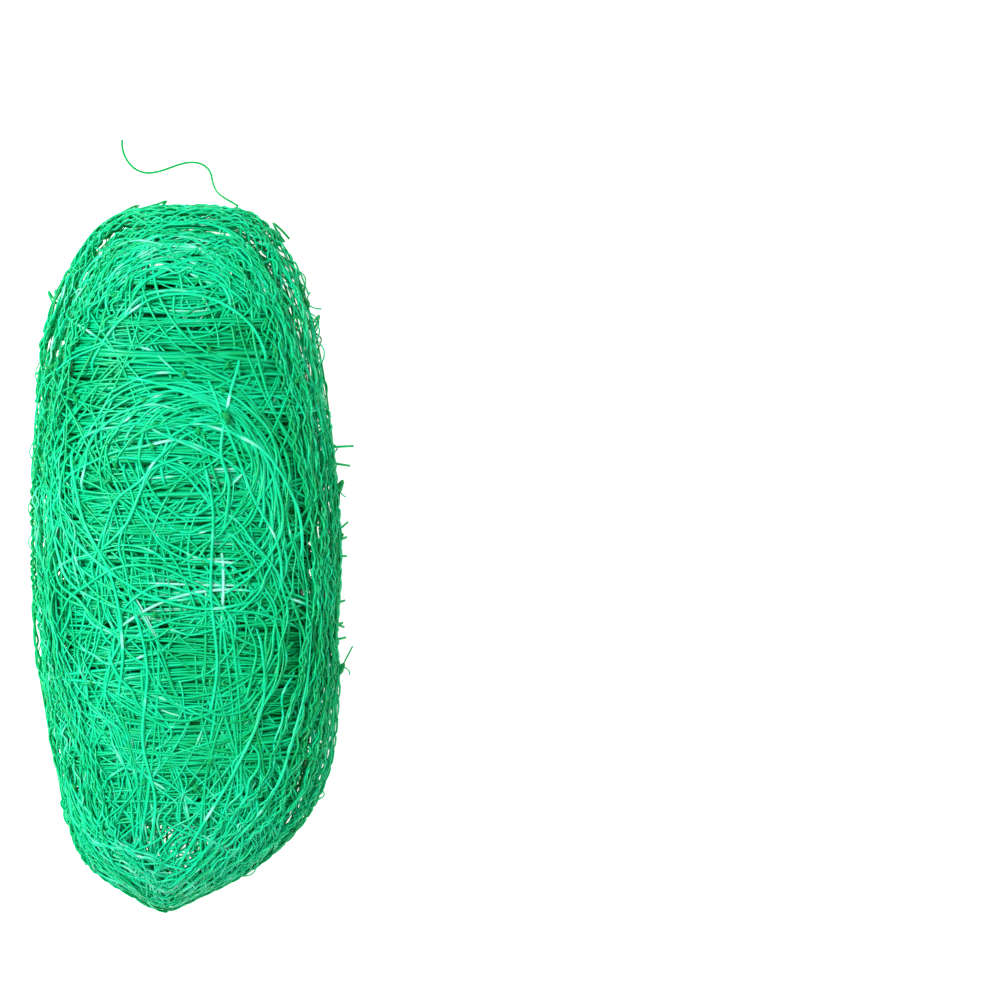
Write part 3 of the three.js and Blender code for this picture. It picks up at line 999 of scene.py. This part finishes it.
def makeKnots():
    # Each is a ball squashed and waved: radius by one plus a sine of both its angles
    k = knots
    n = k["scattered"]
    y = rng.uniform(-120, 140, n)
    x = middleAt(y) + halfWidthAt(y) * rng.uniform(-k["edgeShare"], k["edgeShare"], n)
    size = rng.uniform(*k["size"], n)
    side = np.where(np.arange(n) % 3 == 0, -1, 1)
    z = surfaceHeight(x, y, side, 1.0)
    centres = np.column_stack([x, y, z])
    placed = np.array(k["placed"])
    placedZ = surfaceHeight(placed[:, 0], placed[:, 1], 1, 0.2) + placed[:, 3]
    edgeZ = heightAt(placed[:, 1]) + 7
    fromMiddle = np.abs(placed[:, 0] - middleAt(placed[:, 1]))
    isEdge = fromMiddle > k["edgeShare"] * halfWidthAt(placed[:, 1])
    centres = np.concatenate([np.column_stack([placed[:, :2], np.where(isEdge, edgeZ, placedZ)]), centres])
    size = np.r_[placed[:, 2], size]
    n = len(size)
    lat = np.linspace(-np.pi / 2, np.pi / 2, k["rows"])
    lon = np.arange(k["columns"]) / k["columns"] * 2 * np.pi
    la, lo = np.meshgrid(lat, lon, indexing="ij")
    ripple = 1 + k["ripple"] * np.sin(3 * lo + rng.uniform(0, 6, (n, 1, 1)) + 2 * la)
    stretch = size[:, None, None] * ripple
    turn = rng.uniform(0, np.pi, (n, 1, 1))
    long, short, high = k["squash"]
    u = long * stretch * np.cos(la) * np.cos(lo)
    v = short * stretch * np.cos(la) * np.sin(lo)
    w = high * stretch * np.sin(la)
    points = np.stack([u * np.cos(turn) - v * np.sin(turn), u * np.sin(turn) + v * np.cos(turn), w], axis=-1)
    points += centres[:, None, None]
    points[..., 2] = np.maximum(points[..., 2], lowest)
    counts = (np.arange(n), np.arange(k["rows"] - 1), np.arange(k["columns"]))
    knot, row, column = np.meshgrid(*counts, indexing="ij")

    def at(r, c):
        return (knot * k["rows"] + r) * k["columns"] + c % k["columns"]

    strands = Strands()
    strands.points.append(points.reshape(-1, 3))
    strands.quads.append(np.stack([
        at(row, column), at(row, column + 1), at(row + 1, column + 1), at(row + 1, column),
    ], axis=-1).reshape(-1, 4))
    strands.tones.append(np.full(points.size // 3, k["tone"]))
    strands.count = points.size // 3
    t = np.linspace(0, 1, k["tailSteps"])
    for heading in (0, np.pi):
        angle = turn[:, :, 0] + rng.normal(heading, 0.5, (n, 1)) + 0.8 * t * rng.normal(0, 1, (n, 1))
        reach = rng.uniform(*k["tail"], (n, 1)) * t
        drop = np.broadcast_to(-k["tailDrop"] * t**2, reach.shape)
        path = centres[:, None] + np.stack([reach * np.cos(angle), reach * np.sin(angle), drop], axis=-1)
        strands.add(path, k["tailWidth"], k["tailThickness"], k["tailTone"], sides=4)
    strands.piece("knots", tape)


print("stage: knots")
makeKnots()

# Edge cord of the net, thicker and darker, where it shows at the right side
selvedge = {"points": [(76.6, 36), (76.0, 28), (74.9, 18), (75.4, 9), (76.6, 0), (75.6, -9)], "diameter": 1.6,
            "height": 6, "steps": 40, "tone": 0.16}


def makeSelvedge():
    # A smooth curve through the points, a little over the height of the hank's side
    plan = smoothRows(selvedge["points"], selvedge["steps"])
    points = np.column_stack([plan, heightAt(plan[:, 1]) + selvedge["height"]])[None]
    strands = Strands()
    strands.add(points, selvedge["diameter"], selvedge["diameter"], selvedge["tone"], sides=8)
    strands.piece("selvedge", tape)


print("stage: selvedge")
makeSelvedge()

# Plain pale floor and soft light
studio = {"floor": 20000, "floorColour": "fbfbf8", "floorRoughness": 0.8, "floorGlow": 0.8, "world": 0.66,
          "aim": (0, 0, 0.04)}
lights = [
    {"name": "key", "at": (-0.95, 0.45, 1.45), "size": 0.4, "watts": 38},
    {"name": "fill", "at": (-0.1, -0.6, 1.8), "size": 1.0, "watts": 7},
]


def makeFloor():
    mesh = bpy.data.meshes.new("floor")
    half = studio["floor"] / 2 * mm
    corners = [(-half, -half, 0), (half, -half, 0), (half, half, 0), (-half, half, 0)]
    mesh.from_pydata(corners, [], [(0, 1, 2, 3)])
    floor = bpy.data.objects.new("floor", mesh)
    bpy.context.scene.collection.objects.link(floor)
    material = bpy.data.materials.new("pale floor")
    material.use_nodes = True
    shader = material.node_tree.nodes["Principled BSDF"]
    shader.inputs["Base Color"].default_value = linear(studio["floorColour"])
    shader.inputs["Roughness"].default_value = studio["floorRoughness"]
    shader.inputs["Emission Color"].default_value = linear(studio["floorColour"])
    shader.inputs["Emission Strength"].default_value = studio["floorGlow"]
    mesh.materials.append(material)


def makeWorld():
    world = bpy.data.worlds.new("studio")
    world.use_nodes = True
    world.node_tree.nodes["Background"].inputs["Color"].default_value = (1, 1, 1, 1)
    world.node_tree.nodes["Background"].inputs["Strength"].default_value = studio["world"]
    bpy.context.scene.world = world
    bpy.context.scene.view_settings.view_transform = "Standard"


def makeLight(row):
    # A square area light whose -Z axis is turned towards the aim, by two angles of the line to it
    data = bpy.data.lights.new(row["name"], "AREA")
    data.size = row["size"]
    data.energy = row["watts"]
    light = bpy.data.objects.new(row["name"], data)
    light.location = row["at"]
    aim = np.array(studio["aim"]) - np.array(row["at"])
    light.rotation_euler = (
        math.atan2(math.hypot(aim[0], aim[1]), -aim[2]),
        0,
        math.atan2(aim[0], -aim[1]) + math.pi,
    )
    bpy.context.scene.collection.objects.link(light)


print("stage: studio")
makeFloor()
makeWorld()
for row in lights:
    makeLight(row)
